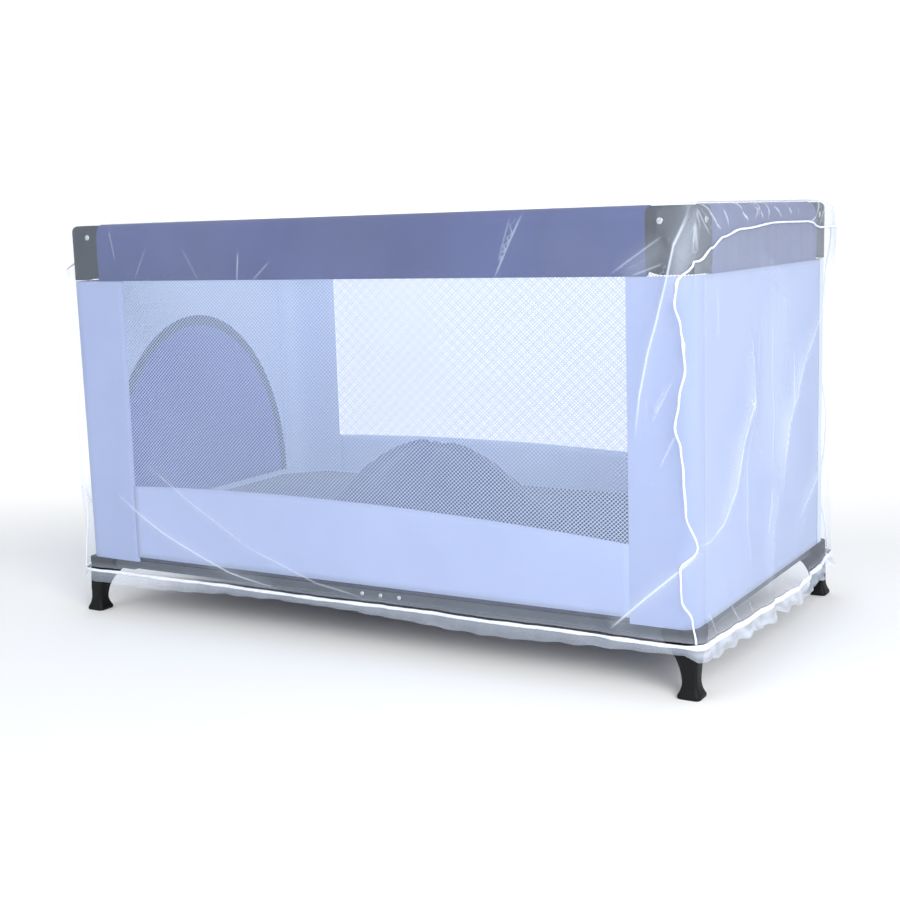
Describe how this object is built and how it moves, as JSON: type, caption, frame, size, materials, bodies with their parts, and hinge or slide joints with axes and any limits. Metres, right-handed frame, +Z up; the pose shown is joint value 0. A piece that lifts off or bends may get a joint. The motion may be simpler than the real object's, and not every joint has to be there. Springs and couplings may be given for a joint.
{
  "type": "crib mosquito net on a travel cot",
  "caption": "Sheer mosquito net with a gathered elastic hem, pulled over a padded folding travel cot that stands on feet.",
  "frame": {"origin": "on the floor under the middle of the cot, at the centre of the bounding box's bottom", "axes": "+X along the cot's length, +Y from its front to its back, +Z up"},
  "size_m": [1.3371, 0.7264, 0.75],
  "materials": {
    "white_net": "sheer fine net",
    "white_piping": "matt woven",
    "slate_blue_cloth": "matt woven",
    "pale_blue_cloth": "matt woven",
    "window_mesh": "open honeycomb knit",
    "dark_slate_cloth": "matt woven",
    "violet_cloth": "matt woven",
    "grey_plastic": "moulded satin",
    "black_plastic": "moulded satin",
    "dark_bar": "satin paint"
  },
  "bodies": {
    "root": {"arch_binding": "dark_slate_cloth", "arch_panel": "violet_cloth", "base_board": "dark_slate_cloth", "bunched_cover": "dark_slate_cloth", "corner_cap_back_left": "grey_plastic", "corner_cap_back_right": "grey_plastic", "corner_cap_front_left": "grey_plastic", "corner_cap_front_right": "grey_plastic", "corner_sleeve_back_left": "pale_blue_cloth", "corner_sleeve_back_right": "pale_blue_cloth", "corner_sleeve_front_left": "pale_blue_cloth", "corner_sleeve_front_right": "pale_blue_cloth", "end_wall_left": "pale_blue_cloth", "end_wall_right": "pale_blue_cloth", "foot_back_left": "black_plastic", "foot_back_right": "black_plastic", "foot_front_left": "black_plastic", "foot_front_right": "black_plastic", "hinge_bracket_back": "dark_bar", "hinge_bracket_front": "dark_bar", "lower_bar_back": "dark_bar", "lower_bar_front": "dark_bar", "lower_bar_left": "dark_bar", "lower_bar_right": "dark_bar", "lower_panel_back": "pale_blue_cloth", "lower_panel_front": "pale_blue_cloth", "mattress": "dark_slate_cloth", "net_end_left": "white_net", "net_end_right": "white_net", "net_frill": "white_net", "net_hem": "white_piping", "net_seam_left": "white_piping", "net_seam_right": "white_piping", "net_wrap": "white_net", "rail_cover_back": "slate_blue_cloth", "rail_cover_front": "slate_blue_cloth", "rail_cover_left": "slate_blue_cloth", "rail_cover_right": "slate_blue_cloth", "window_mesh_back": "window_mesh", "window_mesh_front": "window_mesh"}
  },
  "joints": []
}
